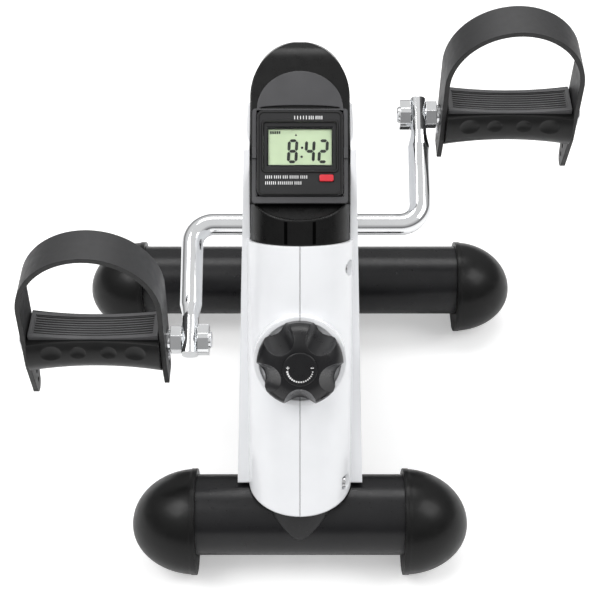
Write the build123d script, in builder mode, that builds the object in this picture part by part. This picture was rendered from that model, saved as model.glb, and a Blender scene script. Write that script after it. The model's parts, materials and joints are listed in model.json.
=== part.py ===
"""Pedal exerciser: a free-standing seated cycle trainer for arms or legs.

Units are millimetres.  +X is the sitter's right, +Y points away from the sitter and +Z is up.
Pieces are drawn about the housing's middle plane, then saved with the origin on the floor midway
between the two floor bars and under the middle of the bent bar.
"""
import os
from math import acos, atan2, cos, hypot, radians, sin, tan

from build123d import *

os.makedirs("parts", exist_ok=True)

# ---------------------------------------------------------------- driving dimensions
# Floor frame
BAR_RADIUS = 30.0
BAR_WALL = 2.0
BAR_HEIGHT = 45.0            # tube axis above the floor
BAR_SPACING = 262.0          # front bar axis to rear bar axis
BEAM_RADIUS = 29.5
BEAM_WALL = 2.0
BEAM_HEIGHT = 105.0          # axis of the beam's level run

# Foot caps
CAP_LENGTH = 49.0
CAP_HALF_WIDTH = 39.0
CAP_EQUATOR = 34.0           # height of the cap's widest line
CAP_BELLY = 36.0             # cap below that line, before the floor flat cuts it
CAP_TOP = 78.0
CAP_SOCKET_DEPTH = 8.0
CAP_SPIGOT_DEPTH = 26.0      # plug inside the bar
CAP_LIP_LENGTH = 4.0
CAP_LIP_PROUD = 0.3
FRONT_CAP_RIM = 77.0         # |X| of the rim
REAR_CAP_RIM = 137.0

# Crank
CRANK_SHIFT = 5.0            # the bent bar sits this far to the right in its bearings
CRANK_Y = 2.5
CRANK_Z = 216.5
CRANK_RADIUS = 8.0
CRANK_TILT = 30.0            # left arm points at the sitter and this far below level
ARM_X = 83.8                 # an arm's axis from the bent bar's middle
ARM_THROW = 88.0
ARM_BEND = 15.5
ARM_FLAT_START = 62.0
ARM_FLAT_THICK = 11.5
ARM_FLAT_WIDTH = 19.0

# Pedals
SPINDLE_RADIUS = 6.0
PEDAL_INNER = 104.0          # pedal's inner face from the bent bar's middle
PEDAL_OUTER = 197.5
PEDAL_TILTS = {-1: 0.0, 1: 7.0}  # how far each resting pedal leans towards the sitter
PEDAL_END_RADIUS = 22.0
PEDAL_WAIST_RADIUS = 18.5
STRAP_WIDTH = 30.0
STRAP_THICK = 3.5
STRAP_TOP = 90.0             # above the spindle

# Shell
SHELL_HALF = 37.5
SHELL_NOSE = 30.0            # depth of the rounded front
SHELL_WALL = 2.5
FLANGE_FOOT_HALF = 45.8      # the flange narrows from its foot to its top
FLANGE_TOP_HALF = 39.0
FLANGE_SETBACK = 27.5
SHELL_BOTTOM = 78.0
SHELL_FRONT_Y = -159.0       # front line at the bottom edge
LEAN = 29.0                  # front line leans back from the vertical

# Brake
DRUM_RADIUS = 48.0
DRUM_HALF = 15.0
BAND_THICK = 2.4
PLATE_X = 24.0               # |X| of a bearing plate's mid-plane
PLATE_THICK = 5.0
KNOB_HEIGHT = 181.0          # where the knob's axis meets the shell's front line
KNOB_RADIUS = 30.0
SCREW_RADIUS = 3.0
RUN = 0.06                   # radial running clearance

# Self-tapping screws that hold the shell, as (Y, Z) by side; the front two go in from the right
PLATE_SCREWS = {-1: ((48.0, 172.0),), 1: ((-55.0, 225.0), (48.0, 172.0))}
BEAM_SCREWS = {-1: ((135.0, 92.0),), 1: ((-135.0, 88.0), (135.0, 92.0))}
SCREW_SIZE = 2.0

# Console
CONSOLE_Y = -35.0            # lower edge of the sloping console face
CONSOLE_Z = 265.0
CONSOLE_TILT = 40.0          # console face above the horizontal
MODULE_HALF = 30.0
MODULE_START = 6.0           # distances up the console face
MODULE_END = 66.5
MODULE_PROUD = 3.0

# Hood and its collar; pairs are (Y, Z)
HOOD_HALF = 34.8
HOOD_ARCH_START = 77.0       # distances up the console face
HOOD_ARCH_RISE = 39.0
HOOD_FALL = 30.0             # the hood's flanks run back and down at this angle
HOOD_BROW = (38.5, 326.7)    # (Y, Z) where the hood's front turns over into its crown
HOOD_CREST = (60.0, 335.0)
HOOD_BOTTOM = CONSOLE_Z + 0.3
HOOD_REAR = (97.0, 254.0)
HOOD_WALL = 2.5
COLLAR_INSET = 2.7           # the collar stands inside the shell's top edge
COLLAR_WALL = 2.3
COLLAR_TUCK = 3.0
LEDGE_RIM = 1.4
LEDGE_DEEP = 1.5
LEDGE_BACK = -32.0           # Y where the ledge's floor ends, under the hood's front edge

FRONT_Y = -BAR_SPACING / 2
REAR_Y = BAR_SPACING / 2


def save(builder, name):
    """Move a finished piece to the part's own origin and write it under its own name."""
    piece = builder.part.moved(Location((-CRANK_SHIFT, 0, 0)))
    piece.label = name
    export_step(piece, f"parts/{name}.step")


def mirrored(builder, plane=Plane.YZ):
    """The same piece on the other side of a plane."""
    with BuildPart() as copy:
        add(mirror(builder.part, about=plane, mode=Mode.PRIVATE))
    return copy


# ---------------------------------------------------------------- floor frame
BOLT_RADIUS = 4.0
BOLT_X = 13.0
NUT_PLATE_BOTTOM = BAR_HEIGHT + BAR_RADIUS + 1.0
NUT_PLATE_THICK = 7.0
NUT_PLATE_SHIFT = 7.0        # the bent beam has moved inboard by this at the plate


def floor_bar(y, half_length):
    """One round floor bar with its two bolt holes."""
    with BuildPart() as bar:
        with BuildSketch(Plane.YZ):
            with Locations((y, BAR_HEIGHT)):
                Circle(BAR_RADIUS)
                Circle(BAR_RADIUS - BAR_WALL, mode=Mode.SUBTRACT)
        extrude(amount=half_length, both=True)
        with BuildSketch(Plane.XY):
            with Locations((BOLT_X, y), (-BOLT_X, y)):
                Circle(BOLT_RADIUS + 0.3)
        extrude(amount=2 * BAR_HEIGHT, mode=Mode.SUBTRACT)
    return bar


save(floor_bar(FRONT_Y, FRONT_CAP_RIM + CAP_SOCKET_DEPTH), "front_stabilizer")
save(floor_bar(REAR_Y, REAR_CAP_RIM + CAP_SOCKET_DEPTH), "rear_stabilizer")

# The beam is one bent tube, coped over both bars, with a nut plate across each end.
BEAM_BEND = BEAM_HEIGHT - BAR_HEIGHT
with BuildPart() as main_beam:
    with BuildLine(Plane.YZ) as beam_path:
        RadiusArc((FRONT_Y, BAR_HEIGHT), (FRONT_Y + BEAM_BEND, BEAM_HEIGHT), BEAM_BEND)
        Line((FRONT_Y + BEAM_BEND, BEAM_HEIGHT), (REAR_Y - BEAM_BEND, BEAM_HEIGHT))
        RadiusArc((REAR_Y - BEAM_BEND, BEAM_HEIGHT), (REAR_Y, BAR_HEIGHT), BEAM_BEND)
    with BuildSketch(Plane.XY.offset(BAR_HEIGHT)):
        with Locations((0, FRONT_Y)):
            Circle(BEAM_RADIUS)
            Circle(BEAM_RADIUS - BEAM_WALL, mode=Mode.SUBTRACT)
    sweep(path=beam_path.line)
    with BuildSketch(Plane.XY.offset(NUT_PLATE_BOTTOM)):
        with Locations((0, FRONT_Y + NUT_PLATE_SHIFT), (0, REAR_Y - NUT_PLATE_SHIFT)):
            Circle(BEAM_RADIUS - BEAM_WALL)
    extrude(amount=NUT_PLATE_THICK)
    with BuildSketch(Plane.XY.offset(NUT_PLATE_BOTTOM)):
        with Locations(*[(x, y) for x in (-BOLT_X, BOLT_X) for y in (FRONT_Y, REAR_Y)]):
            Circle(BOLT_RADIUS)
    extrude(amount=NUT_PLATE_THICK, mode=Mode.SUBTRACT)
    with BuildSketch(Plane.YZ):
        with Locations((FRONT_Y, BAR_HEIGHT), (REAR_Y, BAR_HEIGHT)):
            Circle(BAR_RADIUS)
        with Locations(*BEAM_SCREWS[1]):
            Circle(SCREW_SIZE)
    extrude(amount=2 * BAR_RADIUS, both=True, mode=Mode.SUBTRACT)
save(main_beam, "main_beam")

BOLT_HEAD_HEIGHT = 5.5
WASHER_BOTTOM = BAR_HEIGHT - BAR_RADIUS - 3.0
bolt_spots = [(x, y) for x in (-BOLT_X, BOLT_X) for y in (FRONT_Y, REAR_Y)]
with BuildPart() as stabilizer_bolts:
    with BuildSketch(Plane.XY.offset(WASHER_BOTTOM - BOLT_HEAD_HEIGHT)):
        with Locations(*bolt_spots):
            RegularPolygon(7.5, 6)
    extrude(amount=BOLT_HEAD_HEIGHT)
    with BuildSketch(Plane.XY.offset(WASHER_BOTTOM)):
        with Locations(*bolt_spots):
            Circle(BOLT_RADIUS - 0.05)
    extrude(amount=NUT_PLATE_BOTTOM + NUT_PLATE_THICK + 1 - WASHER_BOTTOM)
save(stabilizer_bolts, "stabilizer_bolts")

# Saddle washers fill the gap between a flat bolt head and the round bar.
with BuildPart() as stabilizer_washers:
    with BuildSketch(Plane.XY.offset(WASHER_BOTTOM)):
        with Locations(*bolt_spots):
            Circle(9)
            Circle(BOLT_RADIUS + 0.2, mode=Mode.SUBTRACT)
    extrude(amount=6)
    with BuildSketch(Plane.YZ):
        with Locations((FRONT_Y, BAR_HEIGHT), (REAR_Y, BAR_HEIGHT)):
            Circle(BAR_RADIUS)
    extrude(amount=2 * BAR_RADIUS, both=True, mode=Mode.SUBTRACT)
save(stabilizer_washers, "stabilizer_washers")


# ---------------------------------------------------------------- foot caps
def cap_dome(height, side):
    """Quarter of an egg: the cap above or below its widest line."""
    with BuildPart() as dome:
        Sphere(1)
        scale(by=(CAP_LENGTH, CAP_HALF_WIDTH, height))
        split(bisect_by=Plane.XY, keep=side)
        split(bisect_by=Plane.YZ, keep=Keep.TOP)
    return dome.part.moved(Location((0, 0, CAP_EQUATOR)))


cap_upper = cap_dome(CAP_TOP - CAP_EQUATOR, Keep.TOP)
cap_lower = cap_dome(CAP_BELLY, Keep.BOTTOM)

# The cap is modelled pointing along +X with its rim on the YZ plane, then copied four times.
with BuildPart() as foot_cap:
    add(cap_upper)
    add(cap_lower)
    for height, side in ((CAP_TOP - CAP_EQUATOR, 1), (CAP_BELLY, -1)):
        with BuildSketch(Plane.YZ):
            with Locations((0, CAP_EQUATOR)):
                Ellipse(CAP_HALF_WIDTH + CAP_LIP_PROUD, height + CAP_LIP_PROUD)
            with Locations((0, CAP_EQUATOR - side * CAP_TOP)):
                Rectangle(2 * CAP_TOP, 2 * CAP_TOP, mode=Mode.SUBTRACT)
        extrude(amount=CAP_LIP_LENGTH)
    split(bisect_by=Plane.XY, keep=Keep.TOP)
    with BuildSketch(Plane.YZ):
        with Locations((0, BAR_HEIGHT)):
            Circle(BAR_RADIUS)
    extrude(amount=CAP_SOCKET_DEPTH, mode=Mode.SUBTRACT)
    with BuildSketch(Plane.YZ.offset(CAP_SOCKET_DEPTH - CAP_SPIGOT_DEPTH)):
        with Locations((0, BAR_HEIGHT)):
            Circle(BAR_RADIUS - BAR_WALL)
            Circle(BAR_RADIUS - 2 * BAR_WALL - 1, mode=Mode.SUBTRACT)
    extrude(amount=CAP_SPIGOT_DEPTH)


def place_cap(y, rim, side):
    """A copy of the cap on one end of a floor bar; side is -1 or +1."""
    with BuildPart() as cap:
        with Locations(Location((rim, y, 0))):
            add(foot_cap.part)
    if side > 0:
        return cap
    return mirrored(cap)


save(place_cap(FRONT_Y, FRONT_CAP_RIM, -1), "front_left_foot_cap")
save(place_cap(FRONT_Y, FRONT_CAP_RIM, 1), "front_right_foot_cap")
save(place_cap(REAR_Y, REAR_CAP_RIM, -1), "rear_left_foot_cap")
save(place_cap(REAR_Y, REAR_CAP_RIM, 1), "rear_right_foot_cap")

# ---------------------------------------------------------------- crank
ARM_DIRECTION = Vector(0, -cos(radians(CRANK_TILT)), -sin(radians(CRANK_TILT)))
CRANK_AXIS = Vector(0, CRANK_Y, CRANK_Z)


def arm_point(side, along):
    """A point on an arm's axis; the two arms point in opposite directions."""
    return CRANK_AXIS + Vector(CRANK_SHIFT + side * ARM_X, 0, 0) - ARM_DIRECTION * side * along


def arm_plane(side, along):
    """Plane across an arm: local x runs along the crank's axis."""
    return Plane(origin=arm_point(side, along), x_dir=(1, 0, 0), z_dir=ARM_DIRECTION * -side)


def spindle_plane(side, x):
    """Plane across a spindle at x out from the bent bar's middle, facing away from it."""
    tip = arm_point(side, ARM_THROW)
    tilt = radians(PEDAL_TILTS[side])
    origin = (CRANK_SHIFT + side * x, tip.Y, tip.Z)
    return Plane(origin=origin, x_dir=(0, cos(tilt), sin(tilt)), z_dir=(side, 0, 0))


# One bent bar: level through the machine, then out along both arms.
with BuildPart() as crank_shaft:
    with BuildLine() as crank_path:
        FilletPolyline(
            arm_point(-1, ARM_FLAT_START),
            arm_point(-1, 0),
            arm_point(1, 0),
            arm_point(1, ARM_FLAT_START),
            radius=ARM_BEND,
        )
    with BuildSketch(arm_plane(-1, ARM_FLAT_START)):
        Circle(CRANK_RADIUS)
    sweep(path=crank_path.line)
    for side in (-1, 1):
        with BuildSketch(arm_plane(side, ARM_FLAT_START)):
            Circle(CRANK_RADIUS)
        with BuildSketch(arm_plane(side, ARM_FLAT_START + 10)):
            RectangleRounded(ARM_FLAT_THICK, ARM_FLAT_WIDTH, ARM_FLAT_THICK / 2 - 0.1)
        loft()
        with BuildSketch(arm_plane(side, ARM_FLAT_START + 10)):
            RectangleRounded(ARM_FLAT_THICK, ARM_FLAT_WIDTH, ARM_FLAT_THICK / 2 - 0.1)
        extrude(amount=27)
        with BuildSketch(spindle_plane(side, ARM_X - CRANK_RADIUS)):
            Circle(SPINDLE_RADIUS)
        extrude(amount=2 * CRANK_RADIUS, mode=Mode.SUBTRACT)
    with BuildSketch(Plane.XZ.offset(-CRANK_Y)):
        with Locations((0, CRANK_Z)):
            Circle(2.5)
    extrude(amount=CRANK_RADIUS + 1, both=True, mode=Mode.SUBTRACT)
save(crank_shaft, "crank_shaft")

# ---------------------------------------------------------------- bearings and brake drum
BEARING_OUTER = 17.5
BEARING_WIDTH = 11.0
BALL_RADIUS = 3.0
BALL_PITCH = 12.75
BALL_COUNT = 9
AXLE_PLANE = Plane(origin=CRANK_AXIS, x_dir=(0, 1, 0), z_dir=(1, 0, 0))


def axle_ring(x, width, outer, inner):
    """A ring on the crank's axis, its mid-plane at x."""
    with BuildPart() as ring:
        with BuildSketch(AXLE_PLANE.offset(x)):
            Circle(outer)
            Circle(inner, mode=Mode.SUBTRACT)
        extrude(amount=width / 2, both=True)
    return ring


def bearing_races(outer, inner):
    """Both bearings' races of one size, with the grooves that the balls run in."""
    with BuildPart() as rings:
        for x in (-PLATE_X, PLATE_X):
            add(axle_ring(x, BEARING_WIDTH, outer, inner).part)
        with Locations(AXLE_PLANE.offset(-PLATE_X).location, AXLE_PLANE.offset(PLATE_X).location):
            Torus(BALL_PITCH, BALL_RADIUS + RUN, mode=Mode.SUBTRACT)
    return rings


save(bearing_races(BEARING_OUTER, BALL_PITCH + 1.6), "bearing_outer_races")
save(bearing_races(BALL_PITCH - 1.6, CRANK_RADIUS), "bearing_inner_races")

with BuildPart() as bearing_balls:
    with Locations(AXLE_PLANE.offset(-PLATE_X).location, AXLE_PLANE.offset(PLATE_X).location):
        with PolarLocations(BALL_PITCH, BALL_COUNT):
            Sphere(BALL_RADIUS)
save(bearing_balls, "bearing_balls")

COLLAR_START = PLATE_X + BEARING_WIDTH / 2 + 0.2
COLLAR_WIDTH = 4.5
with BuildPart() as shaft_collars:
    for side in (-1, 1):
        add(axle_ring(side * (COLLAR_START + COLLAR_WIDTH / 2), COLLAR_WIDTH, 10.8, CRANK_RADIUS).part)
save(shaft_collars, "shaft_collars")

DRUM_RIM = 4.0
DRUM_HUB = 14.0
DRUM_WEB = 4.0
PIN_RADIUS = 2.5
with BuildPart() as brake_drum:
    add(axle_ring(0, 2 * DRUM_HALF, DRUM_RADIUS, DRUM_RADIUS - DRUM_RIM).part)
    add(axle_ring(0, 2 * DRUM_HALF, DRUM_HUB, CRANK_RADIUS).part)
    add(axle_ring(0, DRUM_WEB, DRUM_RADIUS - 1, DRUM_HUB - 1).part)
    with BuildSketch(AXLE_PLANE.offset(-DRUM_WEB)):
        with PolarLocations(29, 6):
            Circle(8)
    extrude(amount=2 * DRUM_WEB, mode=Mode.SUBTRACT)
    with BuildSketch(Plane.XZ.offset(-CRANK_Y)):
        with Locations((0, CRANK_Z)):
            Circle(PIN_RADIUS)
    extrude(amount=DRUM_HUB + 3, both=True, mode=Mode.SUBTRACT)
save(brake_drum, "brake_drum")

with BuildPart() as drum_pin:
    with BuildSketch(Plane.XZ.offset(-CRANK_Y)):
        with Locations((0, CRANK_Z)):
            Circle(PIN_RADIUS)
    extrude(amount=DRUM_HUB + 2, both=True)
    chamfer(drum_pin.edges().filter_by(GeomType.CIRCLE), 0.6)
save(drum_pin, "drum_pin")

# A small magnet on the drum's web passes the sensor once a turn.
MAGNET_ANGLE = 60.0
MAGNET_PITCH = 29.0
magnet_spot = (
    MAGNET_PITCH * cos(radians(MAGNET_ANGLE - 30)),
    MAGNET_PITCH * sin(radians(MAGNET_ANGLE - 30)),
)
with BuildPart() as sensor_magnet:
    with BuildSketch(AXLE_PLANE.offset(DRUM_WEB / 2)):
        with Locations(magnet_spot):
            Circle(4)
    extrude(amount=5)
save(sensor_magnet, "sensor_magnet")

# ---------------------------------------------------------------- pedals
SHOULDER_X = ARM_X + ARM_FLAT_THICK / 2
SHOULDER_WIDTH = 8.0
NUT_X = ARM_X - ARM_FLAT_THICK / 2
NUT_WIDTH = 8.0
BUSH_LENGTH = 10.0
BUSH_OUTER = 9.0
PEDAL_MIDDLE = (PEDAL_INNER + PEDAL_OUTER) / 2
PAD_HALF = 12.5
PAD_SEAT = 12.0              # flat top of the body, above the spindle
PAD_END_TOP = 16.5
PAD_MIDDLE_TOP = 13.4
PAD_FRAME = 3.0
PAD_RECESS = 0.9
SCALLOP_RISE = 14.0          # scallops face the sitter and this many degrees up
SCALLOP_DEPTH = 2.0
SCALLOPS = ((-28.5, 14.6), (-10.6, 11.4), (10.6, 11.4), (28.5, 14.6))  # (offset, width)
STRAP_GAP = 0.3
STRAP_INNER = PEDAL_INNER - STRAP_GAP
STRAP_OUTER = PEDAL_OUTER + STRAP_GAP
INNER_TAIL = -35.0
OUTER_TAIL = -51.0
TAIL_HALF = 7.0
CAP_X = STRAP_OUTER + STRAP_THICK + 0.5
RIVET_DROP = -15.0           # strap rivets below the spindle
RIVET_RADIUS = 2.0


def spindle(side):
    """Stepped pedal spindle: threaded end, hex shoulder, plain journal and end washer."""
    with BuildPart() as pin:
        with BuildSketch(spindle_plane(side, NUT_X - NUT_WIDTH - 2)):
            Circle(SPINDLE_RADIUS)
        extrude(amount=CAP_X - (NUT_X - NUT_WIDTH - 2))
        with BuildSketch(spindle_plane(side, SHOULDER_X)):
            RegularPolygon(9, 6, major_radius=False)
        extrude(amount=SHOULDER_WIDTH)
        with BuildSketch(spindle_plane(side, SHOULDER_X + SHOULDER_WIDTH)):
            Circle(7.5)
        extrude(amount=PEDAL_INNER - STRAP_GAP - SHOULDER_X - SHOULDER_WIDTH)
        chamfer(pin.edges().filter_by(GeomType.CIRCLE).sort_by(Axis.X)[0], 0.8)
        chamfer(pin.edges().filter_by(GeomType.CIRCLE).sort_by(Axis.X)[-1], 0.8)
    return pin


def spindle_nut(side):
    """Domed hexagon nut that clamps the spindle to the crank arm."""
    with BuildPart() as nut:
        with BuildSketch(spindle_plane(side, NUT_X - NUT_WIDTH)):
            RegularPolygon(10.5, 6, major_radius=False)
        extrude(amount=NUT_WIDTH)
        with BuildSketch(spindle_plane(side, NUT_X - NUT_WIDTH)):
            Circle(11.3)
        extrude(amount=NUT_WIDTH, mode=Mode.INTERSECT)
        with BuildSketch(spindle_plane(side, NUT_X - NUT_WIDTH - 1)):
            Circle(SPINDLE_RADIUS)
        extrude(amount=NUT_WIDTH + 2, mode=Mode.SUBTRACT)
    return nut


def side_plane(side):
    """Plane along a spindle, square to its pad: local x runs outwards and local y up from it."""
    tip = arm_point(side, ARM_THROW)
    tilt = radians(PEDAL_TILTS[side])
    facing = (0, -side * cos(tilt), -side * sin(tilt))
    return Plane(origin=(CRANK_SHIFT, tip.Y, tip.Z), x_dir=(side, 0, 0), z_dir=facing)


def pedal_body(side):
    """Waisted roller with a flat top, finger scallops in front and a bushed bore."""
    plane = spindle_plane(side, 0)
    with BuildPart() as body:
        with BuildSketch(side_plane(side)):
            with BuildLine():
                Line((PEDAL_INNER, 0), (PEDAL_INNER, PEDAL_END_RADIUS))
                ThreePointArc(
                    (PEDAL_INNER, PEDAL_END_RADIUS),
                    (PEDAL_MIDDLE, PEDAL_WAIST_RADIUS),
                    (PEDAL_OUTER, PEDAL_END_RADIUS),
                )
                Polyline((PEDAL_OUTER, PEDAL_END_RADIUS), (PEDAL_OUTER, 0), (PEDAL_INNER, 0))
            make_face()
        revolve(axis=Axis(plane.origin, (1, 0, 0)))
        with BuildSketch(plane.offset(PEDAL_INNER - 1)):
            with Locations((0, side * (PAD_SEAT + PEDAL_END_RADIUS))):
                Rectangle(2 * PEDAL_END_RADIUS + 2, 2 * PEDAL_END_RADIUS)
        extrude(amount=PEDAL_OUTER - PEDAL_INNER + 2, mode=Mode.SUBTRACT)
        with BuildSketch(plane.offset(PEDAL_INNER - 1)):
            Circle(SPINDLE_RADIUS + 1.0)
        extrude(amount=PEDAL_OUTER - PEDAL_INNER + 2, mode=Mode.SUBTRACT)
        for start in (PEDAL_INNER, PEDAL_OUTER - BUSH_LENGTH):
            with BuildSketch(plane.offset(start)):
                Circle(BUSH_OUTER)
            extrude(amount=BUSH_LENGTH, mode=Mode.SUBTRACT)
        with BuildSketch(plane.offset(PEDAL_INNER - 1)):
            with Locations((0, side * RIVET_DROP)):
                Circle(RIVET_RADIUS)
        extrude(amount=PEDAL_OUTER - PEDAL_INNER + 2, mode=Mode.SUBTRACT)
        # Finger scallops: four shallow spherical dents across the front, the outer two wider.
        for offset, width in SCALLOPS:
            ball = (width**2 / 4 + SCALLOP_DEPTH**2) / (2 * SCALLOP_DEPTH)
            bulge = (PEDAL_END_RADIUS - PEDAL_WAIST_RADIUS) * (2 * offset / (PEDAL_OUTER - PEDAL_INNER)) ** 2
            reach = PEDAL_WAIST_RADIUS + bulge - SCALLOP_DEPTH + ball
            spot = (
                -reach * cos(radians(SCALLOP_RISE)),
                side * reach * sin(radians(SCALLOP_RISE)),
                PEDAL_MIDDLE + offset,
            )
            with Locations(plane.location * Location(spot)):
                Sphere(ball, mode=Mode.SUBTRACT)
    return body


def pedal_pad(side):
    """Tread pad: dished along its length, with a sunken centre inside a frame."""
    low = PEDAL_INNER + 1
    high = PEDAL_OUTER - 1
    with BuildPart() as pad:
        with BuildSketch(side_plane(side)):
            with BuildLine():
                ThreePointArc((low, PAD_END_TOP), (PEDAL_MIDDLE, PAD_MIDDLE_TOP), (high, PAD_END_TOP))
                Polyline((high, PAD_END_TOP), (high, PAD_SEAT), (low, PAD_SEAT), (low, PAD_END_TOP))
            make_face()
        extrude(amount=PAD_HALF, both=True)
        with BuildSketch(side_plane(side)):
            with BuildLine():
                ThreePointArc(
                    (low + PAD_FRAME, PAD_END_TOP - PAD_RECESS - 0.3),
                    (PEDAL_MIDDLE, PAD_MIDDLE_TOP - PAD_RECESS),
                    (high - PAD_FRAME, PAD_END_TOP - PAD_RECESS - 0.3),
                )
                Polyline(
                    (high - PAD_FRAME, PAD_END_TOP - PAD_RECESS - 0.3),
                    (high - PAD_FRAME, PAD_END_TOP + 1),
                    (low + PAD_FRAME, PAD_END_TOP + 1),
                    (low + PAD_FRAME, PAD_END_TOP - PAD_RECESS - 0.3),
                )
            make_face()
        extrude(amount=PAD_HALF - PAD_FRAME, both=True, mode=Mode.SUBTRACT)
    return pad


def pedal_strap(side):
    """Rubber foot strap: an arch over the pedal with a short inner and a long outer tail."""
    plane = side_plane(side)
    arch_radius = (STRAP_OUTER - STRAP_INNER) / 2 + STRAP_THICK
    arch_height = STRAP_TOP - arch_radius
    half = STRAP_WIDTH / 2
    with BuildPart() as strap:
        with BuildSketch(plane):
            with BuildLine():
                Line((STRAP_INNER - STRAP_THICK, INNER_TAIL), (STRAP_INNER - STRAP_THICK, arch_height))
                ThreePointArc(
                    (STRAP_INNER - STRAP_THICK, arch_height),
                    (PEDAL_MIDDLE, STRAP_TOP),
                    (STRAP_OUTER + STRAP_THICK, arch_height),
                )
                Polyline(
                    (STRAP_OUTER + STRAP_THICK, arch_height),
                    (STRAP_OUTER + STRAP_THICK, OUTER_TAIL),
                    (STRAP_OUTER, OUTER_TAIL),
                    (STRAP_OUTER, arch_height),
                )
                ThreePointArc(
                    (STRAP_OUTER, arch_height),
                    (PEDAL_MIDDLE, STRAP_TOP - STRAP_THICK),
                    (STRAP_INNER, arch_height),
                )
                Polyline(
                    (STRAP_INNER, arch_height),
                    (STRAP_INNER, INNER_TAIL),
                    (STRAP_INNER - STRAP_THICK, INNER_TAIL),
                )
            make_face()
        extrude(amount=half, both=True)
        with BuildSketch(spindle_plane(side, 0)):
            with BuildLine():
                Polyline(
                    (-half, side * STRAP_TOP),
                    (half, side * STRAP_TOP),
                    (half, side * -12),
                    (TAIL_HALF, side * (OUTER_TAIL + TAIL_HALF)),
                )
                ThreePointArc(
                    (TAIL_HALF, side * (OUTER_TAIL + TAIL_HALF)),
                    (0, side * OUTER_TAIL),
                    (-TAIL_HALF, side * (OUTER_TAIL + TAIL_HALF)),
                )
                Polyline(
                    (-TAIL_HALF, side * (OUTER_TAIL + TAIL_HALF)),
                    (-half, side * -12),
                    (-half, side * STRAP_TOP),
                )
            make_face()
        extrude(amount=PEDAL_OUTER + 20, mode=Mode.INTERSECT)
        with BuildSketch(spindle_plane(side, 0)):
            Circle(SPINDLE_RADIUS + 2.2)
            with Locations(*[(0, side * (RIVET_DROP - 8.5 * step)) for step in range(4)]):
                Circle(RIVET_RADIUS)
        extrude(amount=PEDAL_OUTER + 20, mode=Mode.SUBTRACT)
    return strap


def pedal_bushes(side):
    """Two plain nylon bushes, one at each end of the pedal's bore."""
    with BuildPart() as bushes:
        for start in (PEDAL_INNER, PEDAL_OUTER - BUSH_LENGTH):
            with BuildSketch(spindle_plane(side, start)):
                Circle(BUSH_OUTER)
                Circle(SPINDLE_RADIUS + RUN, mode=Mode.SUBTRACT)
            extrude(amount=BUSH_LENGTH)
    return bushes


def strap_rivets(side):
    """Rivets that hold the strap's tails to the ends of the pedal."""
    with BuildPart() as rivets:
        for face, outward in ((STRAP_INNER - STRAP_THICK, -1), (STRAP_OUTER + STRAP_THICK, 1)):
            with BuildSketch(spindle_plane(side, face)):
                with Locations((0, side * RIVET_DROP)):
                    Circle(RIVET_RADIUS - 0.05)
            extrude(amount=-outward * (STRAP_THICK + 9))
            with BuildSketch(spindle_plane(side, face)):
                with Locations((0, side * RIVET_DROP)):
                    Circle(3.6)
            extrude(amount=outward * 1.2, taper=25)
    return rivets


def spindle_cap(side):
    """Domed steel cap pressed on the spindle's outer end; it keeps the pedal on."""
    with BuildPart() as cap:
        with BuildSketch(spindle_plane(side, CAP_X)):
            Circle(8)
        extrude(amount=3.5)
        fillet(cap.faces().sort_by(Axis.X)[-1 if side > 0 else 0].edges(), 2.4)
    return cap


for side, name in ((-1, "left"), (1, "right")):
    save(spindle(side), f"{name}_spindle")
    save(spindle_nut(side), f"{name}_spindle_nut")
    save(spindle_cap(side), f"{name}_spindle_cap")
    save(pedal_body(side), f"{name}_pedal_body")
    save(pedal_pad(side), f"{name}_pedal_pad")
    save(pedal_strap(side), f"{name}_pedal_strap")
    save(pedal_bushes(side), f"{name}_pedal_bushes")
    save(strap_rivets(side), f"{name}_strap_rivets")

# ---------------------------------------------------------------- brake support
SLOPE = tan(radians(LEAN))
KNOB_Y = SHELL_FRONT_Y + (KNOB_HEIGHT - SHELL_BOTTOM) * SLOPE
OUTWARD = Vector(0, -cos(radians(LEAN)), sin(radians(LEAN)))
knob_plane = Plane(origin=(0, KNOB_Y, KNOB_HEIGHT), x_dir=(1, 0, 0), z_dir=OUTWARD)
ANCHOR = (-50.0, 234.2)
ANCHOR_RADIUS = 4.0
SPACER_RADIUS = 4.0
SPACERS = ((50.0, 150.0), (-44.0, 144.0))
PLATE_LOBES = (
    (CRANK_Y, CRANK_Z, 26.0),
    (ANCHOR[0], ANCHOR[1], 6.5),
    (-72.0, 164.5, 10.0),
    (60.0, 145.0, 9.0),
    (62.0, 118.0, 6.0),
    (-62.0, 118.0, 6.0),
)


def bearing_plate(side):
    """Steel side plate that stands on the beam and carries one bearing."""
    with BuildPart() as plate:
        with BuildSketch(Plane.YZ.offset(side * PLATE_X)):
            for y, z, radius in PLATE_LOBES:
                with Locations((y, z)):
                    Circle(radius)
            make_hull()
            with Locations((CRANK_Y, CRANK_Z)):
                Circle(BEARING_OUTER, mode=Mode.SUBTRACT)
            with Locations(ANCHOR, *SPACERS):
                Circle(ANCHOR_RADIUS, mode=Mode.SUBTRACT)
            with Locations(*PLATE_SCREWS[side]):
                Circle(SCREW_SIZE, mode=Mode.SUBTRACT)
        extrude(amount=PLATE_THICK / 2, both=True)
        with BuildSketch(Plane.XZ):
            with Locations((0, BEAM_HEIGHT)):
                Circle(BEAM_RADIUS)
        extrude(amount=90, both=True, mode=Mode.SUBTRACT)
    return plate


save(bearing_plate(-1), "left_bearing_plate")
save(bearing_plate(1), "right_bearing_plate")

PLATE_INNER = PLATE_X - PLATE_THICK / 2
PLATE_OUTER = PLATE_X + PLATE_THICK / 2
with BuildPart() as plate_spacers:
    with BuildSketch(Plane.YZ):
        with Locations(*SPACERS):
            Circle(SPACER_RADIUS)
    extrude(amount=PLATE_OUTER, both=True)
    with BuildSketch(Plane.YZ):
        with Locations(*SPACERS):
            Circle(SPACER_RADIUS + 2.5)
    extrude(amount=PLATE_INNER, both=True)
save(plate_spacers, "plate_spacers")

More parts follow.
